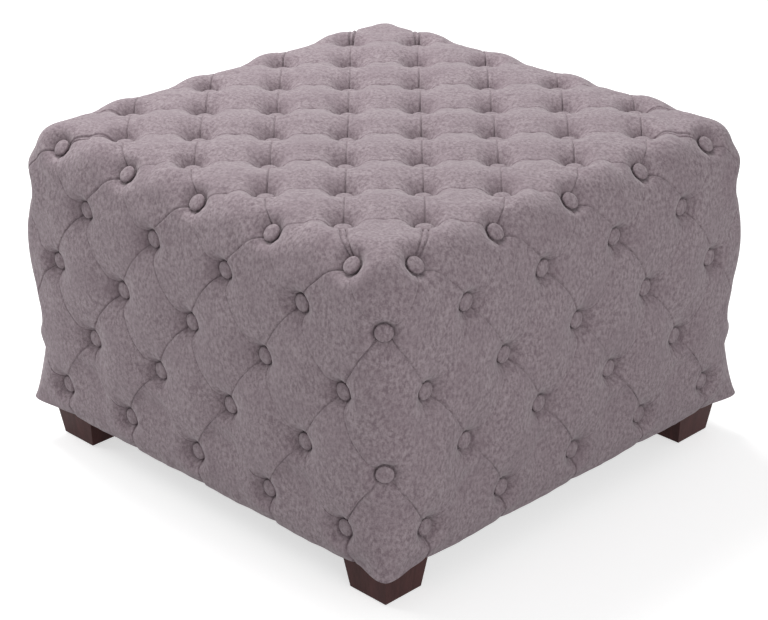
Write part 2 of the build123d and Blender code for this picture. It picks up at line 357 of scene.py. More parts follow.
def top_seat(across, deep):
    """A button's seat on the top, or in row 0 at its edges, in pitches from the front left."""
    if deep == 0:
        return side_seat(across, 0)
    if across == tufts:
        return turned(side_seat(deep, 0), 1)
    if deep == tufts:
        return turned(side_seat(tufts - across, 0), 2)
    if across == 0:
        return turned(side_seat(tufts - deep, 0), 3)
    return Vector((across * pitch - half, deep * pitch - half, top_level)), Vector((0, 0, 1))


def row_places(row):
    """Places along a side, in pitches, of a row's buttons."""
    return [k / 2 for k in range(2 * tufts + 1) if k % 2 != row % 2]


# Pleats between two buttons: how far each bows along the cloth, and how deep its fold is, in
# the two ways of the lattice. They bow away from the corner that they lead to. A negative depth
# is a box pleat, two folds side by side, as on the top near its corners.
side_bows = (0.0045, 0.0100)
side_folds = (0.0034, 0.0015)
top_bows = (0.0015, 0.0015)
top_folds = (0.0038, 0.0014)
box_pleat_fold = -0.0062
box_pleat_reach = 0.8 * pitch
pleat_variation = 0.3
pillow_variation = 0.0016
pleat_seed = 7
chance = random.Random(pleat_seed)
# Pleats by the places of their two seats in tenths of a millimetre, since the pillows on either
# side share one
tenths_per_metre = 10000
pleats = {}


def pleat(upper, lower, rising, hand):
    """Control point, bow and fold of the pleat from one button down to the next."""
    key = frozenset(tuple(round(tenths_per_metre * c) for c in seat[0]) for seat in (upper, lower))
    if key not in pleats:
        facing = min(upper[1].z, lower[1].z)
        on_top = max(upper[1].z, lower[1].z) > top_facing
        kind = rising if hand < 0 else 1 - rising
        bow = (top_bows if on_top else side_bows)[kind]
        fold = (top_folds if on_top else side_folds)[kind]
        way = (upper[1] + lower[1]).normalized()
        along = (lower[0] - upper[0]).normalized()
        middle = (upper[0] + lower[0]) / 2
        vary = 1 + pleat_variation * chance.uniform(-1, 1)
        if facing > edge_facing and not on_top:
            bow = fold = 0.0
            reach = [math.copysign(head_reach, c) for c in middle.xy]
            middle += Vector((*reach, head_rise))
        else:
            near_corner = min(map(abs, middle.xy)) > half - box_pleat_reach
            if on_top and facing < top_facing and near_corner:
                fold = box_pleat_fold
            middle += way * (top_pleat_rises[kind] if on_top else pleat_rise)
        pleats[key] = middle, way.cross(along) * bow * hand * vary, fold * vary
    return pleats[key]


def middle_control(crest, ends, around):
    """The middle of a control net, placed so that its surface passes through the crest."""
    controls = sum((side[0] for side in around), Vector())
    return crest * 4 - sum(ends, Vector()) / 4 - controls / 2


def pillow(up, right, down, left, flats, hand, crest=None):
    """A pillow between four buttons: its control net, its pleats and its place in the cloth."""
    upper_right, lower_right = pleat(up, right, 1, hand), pleat(right, down, 0, hand)
    lower_left, upper_left = pleat(left, down, 1, hand), pleat(up, left, 0, hand)
    around = upper_right, lower_left, upper_left, lower_right
    way = (up[1] + right[1] + down[1] + left[1]).normalized()
    if crest is None:
        height = top_crest if way.z > top_facing else pillow_crest
        crest = (up[0] + right[0] + down[0] + left[0]) / 4 + way * height
    crest = crest + way * pillow_variation * chance.uniform(-1, 1)
    middle = middle_control(crest, (up[0], right[0], down[0], left[0]), around)
    net = [
        [up[0], upper_right[0], right[0]],
        [upper_left[0], middle, lower_right[0]],
        [left[0], lower_left[0], down[0]],
    ]
    return {"net": net, "around": around, "flats": flats, "scale": (1, 1), "slope": Vector()}


def diamond(x, y, across=pitch / 2, up=pitch / 2, down=pitch / 2):
    """Places in the flat cloth of a pillow's up, right, down and left buttons."""
    return (x, y + up), (x + across, y), (x, y - down), (x - across, y)


def side_pillows(quarter, hand):
    """Pillows of one side, between its hem and its rolled edge, and those folded over it."""
    start = quarter * tufts * pitch
    turn = quarter_turn(quarter)
    for row, along in product(range(rows), [k / 2 for k in range(1, 2 * tufts)]):
        if along not in row_places(row + 1) or (row == 0 and along % 1):
            continue
        above, below = (top_seat if row == 0 else side_seat), side_seat(along, row + 1)
        up = above(along, 0.5) if row == 0 else above(along, row - 1)
        left, right = side_seat(along - 0.5, row), side_seat(along + 0.5, row)
        rise = pitch / 2 if row == 0 else fall(row) - fall(row - 1)
        flats = diamond(start + along * pitch, -fall(row), up=rise, down=fall(row + 1) - fall(row))
        crest = None
        if row == 0:
            x = along * pitch - half
            crest = turn @ Vector((x, edge_crest_inset - half, top_level + edge_crest_rise))
        seats = [turned(seat, quarter) for seat in (up, right, below, left)]
        yield pillow(*seats, flats, hand, crest)


def corner_pillows(quarter, hand):
    """Pillows folded over a side's right-hand corner, and the three-sided one on top of it."""
    last = tufts - 0.5
    end = (quarter + 1) * tufts * pitch
    turn = quarter_turn(quarter)
    place = half - corner_crest_inset
    for row in range(2, rows, 2):
        up, down = side_seat(tufts, row - 1), side_seat(tufts, row + 1)
        left, right = side_seat(last, row), turned(side_seat(0.5, row), 1)
        crest = turn @ Vector((place, -place, level(row)))
        seats = [turned(seat, quarter) for seat in (up, right, down, left)]
        flats = diamond(end, -fall(row), up=fall(row) - fall(row - 1), down=fall(row + 1) - fall(row))
        yield pillow(*seats, flats, hand, crest)
    left, right = side_seat(last, 0), turned(side_seat(0.5, 0), 1)
    left, right, down = (turned(seat, quarter) for seat in (left, right, side_seat(tufts, 1)))
    inset = half - vertex_crest_inset
    crest = turn @ Vector((inset, -inset, top_level - vertex_crest_drop))
    head = pleat(left, right, 1, hand)
    still = down[0], Vector(), 0.0
    left_side, right_side = pleat(left, down, 1, hand), pleat(right, down, 0, hand)
    around = head, still, left_side, right_side
    middle = middle_control(crest, (left[0], right[0], down[0], down[0]), around)
    net = [
        [left[0], head[0], right[0]],
        [left_side[0], middle, right_side[0]],
        [down[0], down[0], down[0]],
    ]
    flats = (end - pitch / 2, 0), (end + pitch / 2, 0), (end, -fall(1)), (end, -fall(1))
    yield {"net": net, "around": around, "flats": flats, "scale": (0.5, 1), "slope": Vector()}


def hem_pillows(quarter, hand):
    """Half pillows of one side that run down to the hem, with a pleat under each button."""
    drop = level(rows) - hem_level
    turn = quarter_turn(quarter)
    lay, lap = (hem_pleat_lay, hem_lap) if hand < 0 else (0.0, 0.0)
    for along, step in product(range(tufts + 1), (-1, 1)):
        if not 0 < along + step / 2 < tufts:
            continue
        x = along * pitch - half
        up, side = side_seat(along, rows - 1), side_seat(along + step / 2, rows)
        if along in (0, tufts):
            place = half - corner_crest_inset
            crest = Vector((-step * place, -place, level(rows)))
            foot = Vector((-step * hem_corner_half, -hem_corner_half, hem_level))
            spread = Vector((step, -1, 0)) * corner_roll
            hem_middle = foot + Vector((step, -1, 0)) * hem_corner_roll
        else:
            crest = Vector((x, -side_half - hem_crest, level(rows)))
            foot = Vector((x, -hem_half, hem_level))
            spread = Vector((step * (hem_roll - step * lap), 0, 0))
            hem_middle = foot + spread
        hem_pleat = Vector((side[0].x + lay, hem_pleat_depth - hem_half, hem_level))
        below = (side[0] + hem_pleat) / 2 + side[1] * hem_pleat_swell
        below += Vector((lay * hem_pleat_lean, 0, 0))
        middle = crest * 2 - (up[0] + foot) / 2
        upper = pleat(turned(up, quarter), turned(side, quarter), int(step > 0), hand)
        net = [
            [turn @ side[0], turn @ below, turn @ hem_pleat],
            [upper[0], turn @ (middle + spread), turn @ hem_middle],
            [turn @ up[0], turn @ middle, turn @ foot],
        ]
        centre, edge = quarter * tufts * pitch + along * pitch, step * pitch / 2
        top, bottom = -fall(rows), -fall(rows) - drop
        flats = (
            (centre + edge, top),
            (centre + edge, bottom),
            (centre, bottom),
            (centre, top + row_spacing),
        )
        straight = turn @ below, Vector(), hem_fold
        open_side = turn @ middle, Vector(), 0.0
        around = straight, open_side, upper, open_side
        sideways = (turn @ spread).normalized()
        slope = turn @ up[0] - upper[0]
        slope -= sideways * slope.dot(sideways)
        yield {"net": net, "around": around, "flats": flats, "scale": (0.5, 0.5), "slope": slope}


def top_pillows():
    """Pillows of the top, inside the rolled edges."""
    for i, j in product(range(1, 2 * tufts), repeat=2):
        if (i + j) % 2 == 0:
            x, y = i / 2, j / 2
            ways = (0, 0.5), (0.5, 0), (0, -0.5), (-0.5, 0)
            seats = [top_seat(x + across, y + deep) for across, deep in ways]
            yield pillow(*seats, diamond(x * pitch, y * pitch), 1)


def cover_pillows():
    """Every pillow of the cover."""
    yield from top_pillows()
    for pillows in (side_pillows, hem_pillows, corner_pillows):
        for quarter in range(4):
            yield from pillows(quarter, -1 if quarter % 2 == 0 else 1)


# Cells of a pillow from one pleat to the other, close together beside the pleats
cell_shares = (0.04, 0.06, 0.10, 0.14, 0.16, 0.16, 0.14, 0.10, 0.06, 0.04)
cells = len(cell_shares)
steps = np.concatenate([[0], np.cumsum(cell_shares)])
weld = 0.0004
open_side_power = 8


def sewn_cover():
    """The cover before it is filled: a grid for each pillow, joined along the pleats."""
    bm = bmesh.new()
    weave = bm.loops.layers.uv.new("weave")
    across = bm.loops.layers.uv.new("across")
    folds = bm.loops.layers.uv.new("folds")
    crease = bm.edges.layers.float.new("crease_edge")
    curve = np.array([(1 - steps) ** 2, 2 * steps * (1 - steps), steps**2])
    arch = 4 * steps * (1 - steps)
    # Beside a half pillow's open side, where it goes on into the other half without a crease
    level_off = (1 - steps) ** 2 - (1 - steps) ** open_side_power
    for made in cover_pillows():
        bows = [np.array(side[1]) for side in made["around"]]
        fades = [(1 - steps) ** 2, steps**2]
        points = np.einsum("iu,jv,ijk->uvk", curve, curve, np.array(made["net"]))
        points += np.einsum("u,v,k->uvk", fades[0], arch, bows[0])
        points += np.einsum("u,v,k->uvk", fades[1], arch, bows[1])
        points += np.einsum("u,v,k->uvk", arch, fades[0], bows[2])
        points += np.einsum("u,v,k->uvk", arch, fades[1], bows[3])
        points += np.einsum("u,v,k->uvk", 2 * steps**2 * (1 - steps), level_off, made["slope"])
        up, right, down, left = (Vector(flat) for flat in made["flats"])
        fold = [side[2] for side in made["around"]]
        grid = bmesh.ops.create_grid(bm, x_segments=cells, y_segments=cells, size=0.5)["verts"]
        steps_of = {v: (round((v.co.x + 0.5) * cells), round((v.co.y + 0.5) * cells)) for v in grid}
        for edge in {edge for v in grid for edge in v.link_edges}:
            (i, j), (m, n) = (steps_of[v] for v in edge.verts)
            borders = i == m == 0, i == m == cells, j == n == 0, j == n == cells
            hem = made["scale"][1] < 1 and borders[3]
            edge[crease] = float(hem or any(at and deep for at, deep in zip(borders, fold)))
        for face in {face for v in grid for face in v.link_faces}:
            for loop in face.loops:
                i, j = steps_of[loop.vert]
                u, v = steps[i], steps[j]
                flat = (up * (1 - v) + right * v) * (1 - u) + (left * (1 - v) + down * v) * u
                loop[weave].uv = flat
                loop[across].uv = u * made["scale"][0], v * made["scale"][1]
                loop[folds].uv = fold[0] * (1 - u) + fold[1] * u, fold[2] * (1 - v) + fold[3] * v
        for v in grid:
            v.co = points[steps_of[v]]
    bmesh.ops.remove_doubles(bm, verts=bm.verts, dist=weld)
    bmesh.ops.recalc_face_normals(bm, faces=bm.faces)
    return bm


# The pit round the buttons of each group: how far the twine sinks them, the depth and the
# reach of the pit beyond their rims, and how fast the cloth beside it rolls over an edge, as
# one over the radius
pits = {
    "top_buttons": (0.0025, 0.0205, 0.0135, 0.0),
    "edge_buttons": (0.0025, 0.0140, 0.012, 1 / 0.068),
    "corner_buttons": (0.004, 0.0135, 0.012, 1 / 0.051),
}
side_pit = (0.0025, 0.0178, 0.0095, 0.0)


def all_seats():
    """Every button's seat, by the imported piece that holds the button, sunk by its twine."""
    found = {"top_buttons": [], "edge_buttons": [], "corner_buttons": []}
    for i, j in product(range(1, 2 * tufts), repeat=2):
        if (i + j) % 2:
            found["top_buttons"].append(top_seat(i / 2, j / 2))
    for quarter, side in enumerate(sides):
        found["edge_buttons"] += [turned(side_seat(k, 0), quarter) for k in row_places(0)]
        found["corner_buttons"] += [turned(side_seat(tufts, row), quarter) for row in range(1, rows, 2)]
        inner = [(k, row) for row in range(1, rows + 1) for k in row_places(row) if 0 < k < tufts]
        found[f"{side}_buttons"] = [turned(side_seat(*place), quarter) for place in inner]
    for group, held in found.items():
        sink = pits.get(group, side_pit)[0]
        found[group] = [(place - way * sink, way) for place, way in held]
    return found


seats = all_seats()
seat_places = np.array([seat[0] for group in seats.values() for seat in group])
seat_ways = np.array([seat[1] for group in seats.values() for seat in group])
seat_pits = np.array([pits.get(name, side_pit) for name, group in seats.items() for seat in group])


def vertex_array(mesh, what):
    """The places or normals of a mesh's vertices."""
    values = np.empty(len(mesh.vertices) * 3, np.float32)
    mesh.vertices.foreach_get(what, values)
    return values.reshape(-1, 3).astype(float)


def set_places(mesh, places):
    """Move a mesh's vertices."""
    mesh.vertices.foreach_set("co", places.astype(np.float32).ravel())
    mesh.update()


def nearest_seats(places, at_once=20000):
    """The nearest button's seat to each place, and how far that seat is."""
    found, gaps = [], []
    for part in np.array_split(places, max(1, len(places) // at_once)):
        apart = np.linalg.norm(part[:, None, :] - seat_places[None, :, :], axis=2)
        found.append(apart.argmin(axis=1))
        gaps.append(apart.min(axis=1))
    return np.concatenate(found), np.concatenate(gaps)


def ramp(values, low, high):
    """Rise smoothly from 0 at low to 1 at high."""
    share = np.clip((values - low) / (high - low), 0, 1)
    return share * share * (3 - 2 * share)


# How hard and how far the filling pushes the cloth out, and how firmly buttons and pleats hold
# it, the buttons less and less between two distances from their seats
fill_pressure = 4.0
fill_frames = 20
fill_limit = 0.006
least_move = 1e-9
spare_cloth = 0.01
least_hold = 0.01
pleat_hold = 0.05
button_hold = (0.006, 0.040)


def fill_out(piece):
    """Let the filling push the cloth out, held by its buttons, its hem and, less, its pleats."""
    mesh = piece.data
    places = vertex_array(mesh, "co")
    hold = 1 - ramp(nearest_seats(places)[1], *button_hold)
    crease = mesh.attributes["crease_edge"].data
    folded = [v for edge in mesh.edges if crease[edge.index].value > 0 for v in edge.vertices]
    hold[folded] = np.maximum(hold[folded], pleat_hold)
    hold[places[:, 2] < hem_level + weld] = 1.0
    group = piece.vertex_groups.new(name="held")
    for index in np.flatnonzero(hold > least_hold):
        group.add([int(index)], float(hold[index]), "REPLACE")
    cloth = piece.modifiers.new("cloth", "CLOTH")
    cloth.settings.quality = 6
    cloth.settings.mass = 0.3
    cloth.settings.tension_stiffness = 20.0
    cloth.settings.compression_stiffness = 20.0
    cloth.settings.shear_stiffness = 8.0
    cloth.settings.bending_stiffness = 0.3
    cloth.settings.vertex_group_mass = "held"
    cloth.settings.shrink_min = -spare_cloth
    cloth.settings.use_pressure = True
    cloth.settings.uniform_pressure_force = fill_pressure
    cloth.settings.effector_weights.gravity = 0.0
    cloth.point_cache.frame_start = 1
    cloth.point_cache.frame_end = fill_frames
    scene = bpy.context.scene
    for number in range(1, fill_frames + 1):
        scene.frame_set(number)
    filled = piece.evaluated_get(bpy.context.evaluated_depsgraph_get()).data
    moved = vertex_array(filled, "co") - places
    length = np.maximum(np.linalg.norm(moved, axis=1), least_move)
    moved *= (fill_limit * np.tanh(length / fill_limit) / length)[:, None]
    piece.modifiers.clear()
    scene.frame_set(1)
    set_places(mesh, places + moved)


def per_vertex(mesh, layer):
    """One value of a UV layer for each vertex."""
    loops = np.empty(len(mesh.loops), int)
    mesh.loops.foreach_get("vertex_index", loops)
    values = np.empty(len(mesh.loops) * 2, np.float32)
    mesh.uv_layers[layer].uv.foreach_get("vector", values)
    result = np.zeros((len(mesh.vertices), 2))
    result[loops] = values.reshape(-1, 2)
    return result


# Pits: their floor under the button, the wall round it, the height of their rim over the seat,
# and the radii between which they pass into the pillow
pit_floor = 0.0108
pit_wall = 0.0123
pit_bottom = 0.0005
pit_rim = 0.0035
pit_blend = (0.020, 0.055)
# Down, tipped a hair so that no button's way lies along it, and how much a way points up where
# the cloth rolls over the top's edge, and not over a corner
downhill = (0.001, 0.0, -1.0)
up_facing = 0.1
# Small gathers round each button, drawn up by chance within a span of shares of their height
gathers = 7
uneven_gathers = 3
uneven_share = 0.4
gather_height = 0.0006
gather_span = (0.4, 1.0)
gather_reach = 0.011
gather_seed = 11
# Folds sunk along the pleats, shallower half-way, and the lip of the pillow that laps over one
fold_width = 0.0009
fold_fade = 0.35
box_pleat_half = 0.0042
box_fold_width = 0.0014
pillow_width = 0.108
lip_height = 0.0002
lip_width = 0.0045
# Ripples all over, and wrinkles on what lies level, drawn out from front left to back right
ripple_height = 0.0007
ripple_length = 0.045
wrinkle_height = 0.0008
wrinkle_length = 0.018
wrinkle_draw = 0.2
wrinkle_facing = (0.6, 0.95)
# Radius at which the cloth turns in at the hem
hem_round = 0.003


def settle(piece):
    """Draw the pits tight round the buttons, sink the folds, gather and ripple the cloth."""
    mesh = piece.data
    places = vertex_array(mesh, "co")
    nearest = nearest_seats(places)[0]
    ways = seat_ways[nearest]
    apart = places - seat_places[nearest]
    flat = apart - ways * (apart * ways).sum(axis=1)[:, None]
    radius = np.linalg.norm(flat, axis=1)
    side = np.cross(ways, np.array(downhill))
    side /= np.linalg.norm(side, axis=1)[:, None]
    level_part = (flat * side).sum(axis=1)
    steep_part = (flat * np.cross(ways, side)).sum(axis=1)
    pit_depth, reach, roll = seat_pits[nearest].T[1:]
    over = np.where(ways[:, 2] > up_facing, steep_part, level_part)
    climb = 1 - np.exp(-np.maximum(radius - pit_wall, 0) / reach)
    height = pit_rim + pit_depth * climb - roll * over**2 / 2
    cone = seat_places[nearest] + flat + ways * height[:, None]
    places += (cone - places) * (1 - ramp(radius, *pit_blend))[:, None]
    set_places(mesh, places)
    normals = vertex_array(mesh, "normal")
    angle = np.arctan2(steep_part, level_part)
    draws = np.random.default_rng(gather_seed)
    turn = draws.uniform(0, 2 * math.pi, (len(seat_places), 2))[nearest]
    drawn_up = gather_height * draws.uniform(*gather_span, len(seat_places))[nearest]
    unevenness = 1 - uneven_share + uneven_share * np.cos(uneven_gathers * angle + turn[:, 1])
    drawn_up *= np.exp(-(radius - pit_wall) / gather_reach) * ramp(radius, pit_floor, pit_wall)
    lift = drawn_up * np.cos(gathers * angle + turn[:, 0]) * unevenness
    across, depth = per_vertex(mesh, "across"), per_vertex(mesh, "folds")
    beside = np.minimum(across, 1 - across) * pillow_width
    between = (4 * across * (1 - across))[:, ::-1]
    beside = np.where(depth < 0, beside - box_pleat_half * between, beside)
    width = np.where(depth < 0, box_fold_width, fold_width)
    depth = np.abs(depth) * (1 - fold_fade * between**2)
    lift -= (depth * np.exp(-((beside / width) ** 2))).max(axis=1)
    lap = (1 - across) * pillow_width
    lips = lip_height * (np.exp(-lap / lip_width) - np.exp(-((lap / fold_width) ** 2)))
    lift += (lips * (depth > 0)).max(axis=1)
    ripples = [noise.noise(Vector(place) / ripple_length) for place in places]
    lift += ripple_height * np.array(ripples)
    drawn = zip(places[:, 0] - places[:, 1], (places[:, 0] + places[:, 1]) * wrinkle_draw)
    wrinkles = [noise.noise(Vector((*place, 0)) / wrinkle_length) for place in drawn]
    lift += wrinkle_height * np.array(wrinkles) * ramp(normals[:, 2], *wrinkle_facing)
    places += normals * lift[:, None]
    bottom = seat_places[nearest] + flat + ways * pit_bottom
    places += (bottom - places) * (1 - ramp(radius, pit_floor, pit_wall))[:, None]
    drop = np.clip((hem_level + hem_round - places[:, 2]) / hem_round, 0, 1)
    inward = hem_round * (1 - np.sqrt(1 - drop**2)) / np.abs(places[:, :2]).max(axis=1)
    places[:, :2] *= (1 - inward)[:, None]
    places[:, 2] = np.maximum(places[:, 2], hem_level)
    set_places(mesh, places)


# Turned-in edge of the cloth and the inner side of the wadding, level by level: half width,
# height, and how far the corners are cut
turn_in = 0.062
cloth_thickness = 0.0015
foam_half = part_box("right_foam")[1].x
foam_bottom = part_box("front_foam")[0].z
foam_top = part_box("top_foam")[1].z
foam_mitre = 0.040
foam_corner_cut = 0.024
block_low, block_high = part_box("back_right_foot_block")
uncut = 2 * half
lining = (
    (hem_half - turn_in, hem_level, uncut),
    (hem_half - turn_in, hem_level + cloth_thickness, uncut),
    (foam_half, foam_bottom, 2 * foam_half - foam_corner_cut),
    (foam_half, foam_top - foam_mitre, 2 * foam_half - foam_corner_cut),
    (foam_half - foam_mitre, foam_top, 2 * (foam_half - foam_mitre)),
)


def turn_under(bm):
    """Turn the cloth in under the frame, round the foot blocks, and close the wadding."""
    edges = [edge for edge in bm.edges if edge.is_boundary]
    for size, height, cut in lining:
        made = bmesh.ops.extrude_edge_only(bm, edges=edges)["geom"]
        edges = [part for part in made if isinstance(part, bmesh.types.BMEdge)]
        verts = [part for part in made if isinstance(part, bmesh.types.BMVert)]
        for v in verts:
            v.co *= size / max(abs(v.co.x), abs(v.co.y))
            if size < foam_half - foam_mitre and min(abs(v.co.x), abs(v.co.y)) > block_low.x:
                v.co *= block_high.x / max(abs(v.co.x), abs(v.co.y))
            over = max(0.0, abs(v.co.x) + abs(v.co.y) - cut) / 2
            v.co.x -= math.copysign(over, v.co.x)
            v.co.y -= math.copysign(over, v.co.y)
            v.co.z = height
    bmesh.ops.pointmerge(bm, verts=verts, merge_co=(0, 0, foam_top))


# Sizes of the cloth's threads, flecks and patches, and how strongly each shows
thread = 0.0014
thread_waver = 1.5
thread_depth = 0.0004
thread_relief = 0.5
heather_width = 0.0041
heather_length = 0.0056
heather_range = (0.36, 0.64)
fibre_width = 0.0016
fibre_share = 0.3
fibre_relief_share = 0.5
mottle = 0.045
mottle_range = (0.4, 0.7)
mottle_share = 0.35
cloth_roughness = 0.95
cloth_shine = 0.2
fuzz = 0.25
fuzz_roughness = 0.5
cloth_light = "#A89A9F"
cloth_dark = "#7E6E75"
cloth_mottle = "#8B7B82"


def cloth_material():
    """Polyester weave spun from light and dark fibres, so the cloth reads heathered and matt.
    Its threads and flecks, half a millimetre in truth, are drawn coarser, to show."""
    made, tree, shader = new_material("heathered_polyester_weave")
    flat = add_node(tree, "ShaderNodeUVMap", {}, uv_map="weave").outputs["UV"]
    place = add_node(tree, "ShaderNodeTexCoord", {}).outputs["Object"]
    flecks = []
    for width, length in ((heather_width, heather_length), (fibre_width, fibre_width)):
        scale = 1 / width, 1 / width, 1 / length
        drawn = add_node(tree, "ShaderNodeMapping", {"Vector": place, "Scale": scale})
        fleck = add_node(
            tree,
            "ShaderNodeTexNoise",
            {"Vector": drawn.outputs["Vector"], "Scale": 1.0, "Detail": 2.0, "Roughness": 0.6},
        )
        flecks.append(fleck.outputs["Fac"])
    both = add_node(tree, "ShaderNodeMix", {"Factor": fibre_share, "A": flecks[0], "B": flecks[1]})
    faint, strong = heather_range
    heather = add_node(
        tree,
        "ShaderNodeMapRange",
        {"Value": both.outputs["Result"], "From Min": faint, "From Max": strong},
    )
    tone = add_node(
        tree,
        "ShaderNodeMix",
        {
            "Factor": heather.outputs["Result"],
            first_colour: linear(cloth_dark),
            second_colour: linear(cloth_light),
        },
        data_type="RGBA",
    )
    patches = add_node(
        tree,
        "ShaderNodeTexNoise",
        {"Vector": flat, "Scale": 1 / mottle, "Detail": 4.0},
        noise_dimensions="2D",
    )
    faint, strong = mottle_range
    worn = add_node(
        tree,
        "ShaderNodeMapRange",
        {
            "Value": patches.outputs["Fac"],
            "From Min": faint,
            "From Max": strong,
            "To Max": mottle_share,
        },
    )
    mottled = add_node(
        tree,
        "ShaderNodeMix",
        {
            "Factor": worn.outputs["Result"],
            first_colour: tone.outputs[mixed_colour],
            second_colour: linear(cloth_mottle),
        },
        data_type="RGBA",
    )
    # A wave texture's bands lie pi / 10 apart at a scale of 1
    bands = []
    for direction in ("X", "Y"):
        band = add_node(
            tree,
            "ShaderNodeTexWave",
            {
                "Vector": flat,
                "Scale": math.pi / (10 * thread),
                "Distortion": thread_waver,
                "Detail": 1.0,
            },
            bands_direction=direction,
        )
        bands.append(band.outputs["Fac"])
    weave = add_node(tree, "ShaderNodeMath", {0: bands[0], 1: bands[1]}, operation="MULTIPLY")
    height = add_node(
        tree,
        "ShaderNodeMix",
        {
            "Factor": fibre_relief_share,
            "A": weave.outputs["Value"],
            "B": both.outputs["Result"],
        },
    )
    bump = add_node(
        tree,
        "ShaderNodeBump",
        {
            "Height": height.outputs["Result"],
            "Strength": thread_relief,
            "Distance": thread_depth,
        },
    )
    tree.links.new(mottled.outputs[mixed_colour], shader.inputs["Base Color"])
    tree.links.new(bump.outputs["Normal"], shader.inputs["Normal"])
    shader.inputs["Roughness"].default_value = cloth_roughness
    shader.inputs["Specular IOR Level"].default_value = cloth_shine
    shader.inputs["Sheen Weight"].default_value = fuzz
    shader.inputs["Sheen Roughness"].default_value = fuzz_roughness
    return made


cloth = cloth_material()
cover = new_piece("tufted_fabric_cover", sewn_cover(), cloth, "cover_fabric", "tufted_cover")
fill_out(cover)
smooth = cover.modifiers.new("smooth", "SUBSURF")
smooth.levels = 2
smooth.render_levels = 2
smooth.uv_smooth = "NONE"
finer = cover.evaluated_get(bpy.context.evaluated_depsgraph_get())
cover.data = bpy.data.meshes.new_from_object(finer)
cover.modifiers.clear()
settle(cover)
bm = bmesh.new()
bm.from_mesh(cover.data)
turn_under(bm)
bmesh.ops.recalc_face_normals(bm, faces=bm.faces)
bm.to_mesh(cover.data)
bm.free()
cover.data.shade_smooth()

# Covered buttons
# Size 36 upholstery buttons: a domed steel shell, 22 mm across, pressed over a round of the
# same weave. Twine through the foam pulls each one down into its pit.

button_rim = 0.0065
button_back = 0.0060
button_steps = 28
button_seed = 5
# Shares of its radius and of its height over or under its rim, from the middle round to the back
button_profile = (
    (0.0, 1.0),
    (0.35, 0.97),
    (0.62, 0.86),
    (0.82, 0.66),
    (0.94, 0.40),
    (1.0, 0.10),
    (0.98, -0.25),
    (0.90, -0.55),
    (0.70, -0.95),
)


def button_mesh():
    """A covered button, facing up from its seat, with its weave laid flat over it."""
    bm = bmesh.new()
    weave = bm.loops.layers.uv.new("weave")
    dome = button_height - button_rim
    verts = []
    for out, up in button_profile:
        rise = up * (dome if up > 0 else button_back)
        verts.append(bm.verts.new((out * button_width / 2, 0, button_rim + rise)))
    edges = [bm.edges.new(pair) for pair in zip(verts, verts[1:])]
    bmesh.ops.spin(
        bm,
        geom=verts + edges,
        cent=(0, 0, 0),
        axis=(0, 0, 1),
        angle=2 * math.pi,
        steps=button_steps,
        use_merge=True,
    )
    bmesh.ops.remove_doubles(bm, verts=bm.verts, dist=same_place)
    bmesh.ops.contextual_create(bm, geom=[edge for edge in bm.edges if edge.is_boundary])
    bmesh.ops.recalc_face_normals(bm, faces=bm.faces)
    for face in bm.faces:
        face.smooth = True
        for loop in face.loops:
            loop[weave].uv = loop.vert.co.xy
    mesh = bpy.data.meshes.new("covered_button")
    bm.to_mesh(mesh)
    bm.free()
    return mesh


button = button_mesh()
button_turns = random.Random(button_seed)
for group, places in seats.items():
    bm = bmesh.new()
    bm.loops.layers.uv.new("weave")
    for place, way in places:
        start = len(bm.verts)
        bm.from_mesh(button)
        bm.verts.ensure_lookup_table()
        spin = Matrix.Rotation(button_turns.uniform(-math.pi, math.pi), 4, "Z")
        stand = Matrix.Translation(place) @ way.to_track_quat("Z", "Y").to_matrix().to_4x4() @ spin
        bmesh.ops.transform(bm, matrix=stand, verts=bm.verts[start:])
    new_piece(f"covered_{group}", bm, cloth, "button_fabric", group)

# Tapered feet
# Hardwood blocks cut to a taper on all four sides, stained espresso under a satin lacquer,
# each screwed up into its block with a hanger bolt.

foot_face = "#53302F"
foot_grain = "#3D2221"
foot_figure = 0.012
foot_pore = 0.0011
foot_roughness = 0.45
foot_shine = 0.1

# Dark, with the grain just showing through, and a soft low shine from the lacquer
hardwood = foot_face, foot_grain, foot_figure, foot_pore, foot_roughness
stained = wood("espresso_stained_hardwood", along_z, *hardwood)
shader = stained.node_tree.nodes["Principled BSDF"]
shader.inputs["Specular IOR Level"].default_value = foot_shine
dress([f"{corner}_foot" for corner in corners], stained)

# Hanger bolts and threaded inserts
# Zinc-plated steel, a wood thread up to the shoulder and a machine thread above it. They are
# out of sight once the feet are on.

zinc_colour = "#C2C3C0"
zinc_shade = "#A3A5A4"
zinc_crystal = 0.0012
zinc_roughness = 0.35

# Bright but soft, with a faint grain of crystals
zinc, shader = grained(
    "zinc_plated_steel",
    "ShaderNodeTexVoronoi",
    zinc_shade,
    zinc_colour,
    zinc_crystal,
    zinc_roughness,
)
shader.inputs["Metallic"].default_value = 1.0
fittings = ("hanger_bolt", "threaded_insert")
dress([f"{corner}_{fitting}" for corner in corners for fitting in fittings], zinc)

# Glides
# Black nylon discs, 30 mm across, moulded and nailed under the feet, so that the ottoman
# slides without marking the floor.

nylon_colour = "#202021"
nylon_shade = "#171718"
nylon_grain = 0.0009
nylon_roughness = 0.5

# Half matt, as it comes from a sand-blasted mould
nylon, shader = grained(
    "moulded_black_nylon",
    "ShaderNodeTexNoise",
    nylon_shade,
    nylon_colour,
    nylon_grain,
    nylon_roughness,
)
dress([f"{corner}_glide" for corner in corners], nylon)

# Dust cloth and its staples
# Black spun-bonded polypropylene, stretched under the frame and stapled through the cover's
# turned-in edge into the rails. It sags a little in the middle, and the feet clamp its corners.

